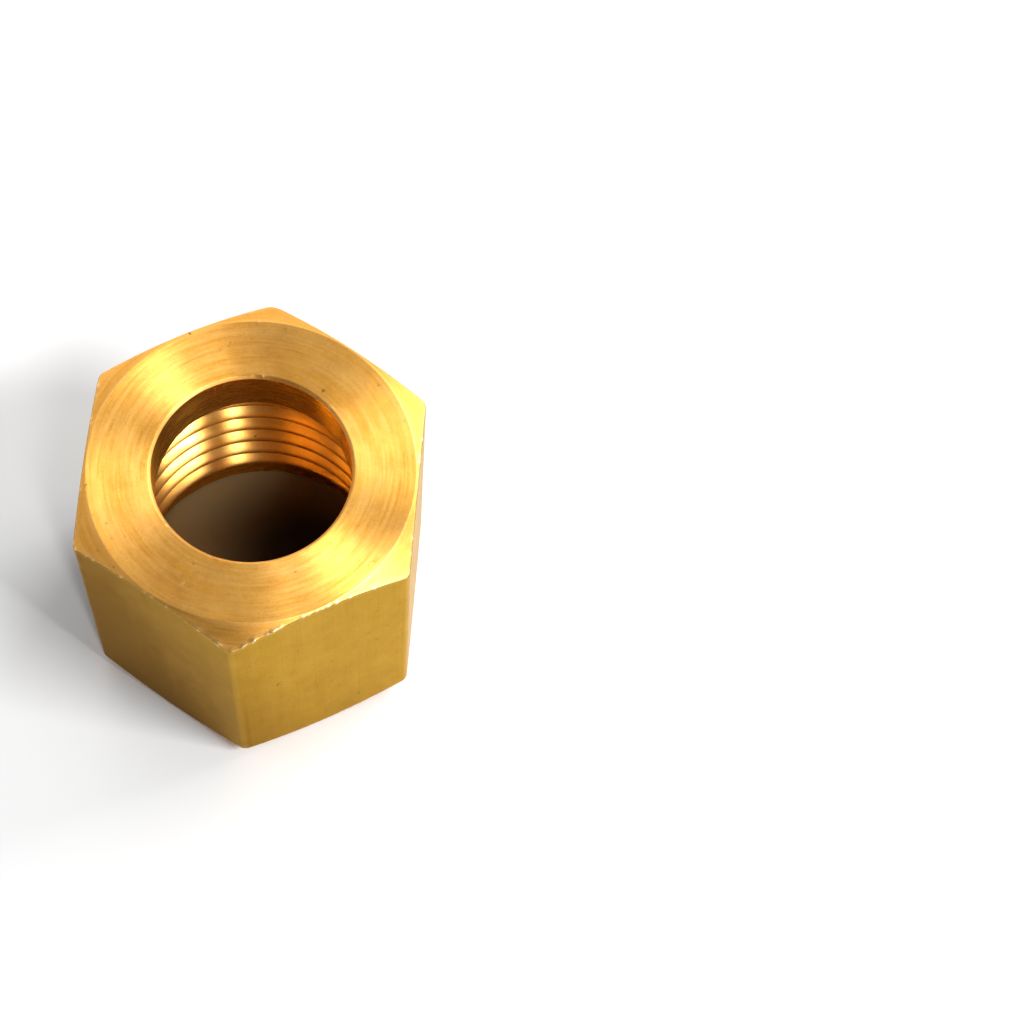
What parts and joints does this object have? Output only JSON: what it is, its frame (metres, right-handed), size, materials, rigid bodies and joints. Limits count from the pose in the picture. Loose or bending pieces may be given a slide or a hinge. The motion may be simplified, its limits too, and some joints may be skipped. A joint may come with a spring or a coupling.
{
  "type": "compression nut",
  "caption": "Hexagonal brass compression nut with a pipe hole and seat cone at one end and an internal thread open at the other.",
  "frame": {"origin": "on the nut's axis, at the open (threaded) end face that it stands on", "axes": "+Z along the axis from the open end to the pipe end; two of the six flats face -Y and +Y, and two corners lie on the X axis"},
  "size_m": [0.016, 0.014, 0.014],
  "materials": {
    "brass": "turned and drawn, bare"
  },
  "bodies": {
    "root": {"nut": "brass"}
  },
  "joints": []
}
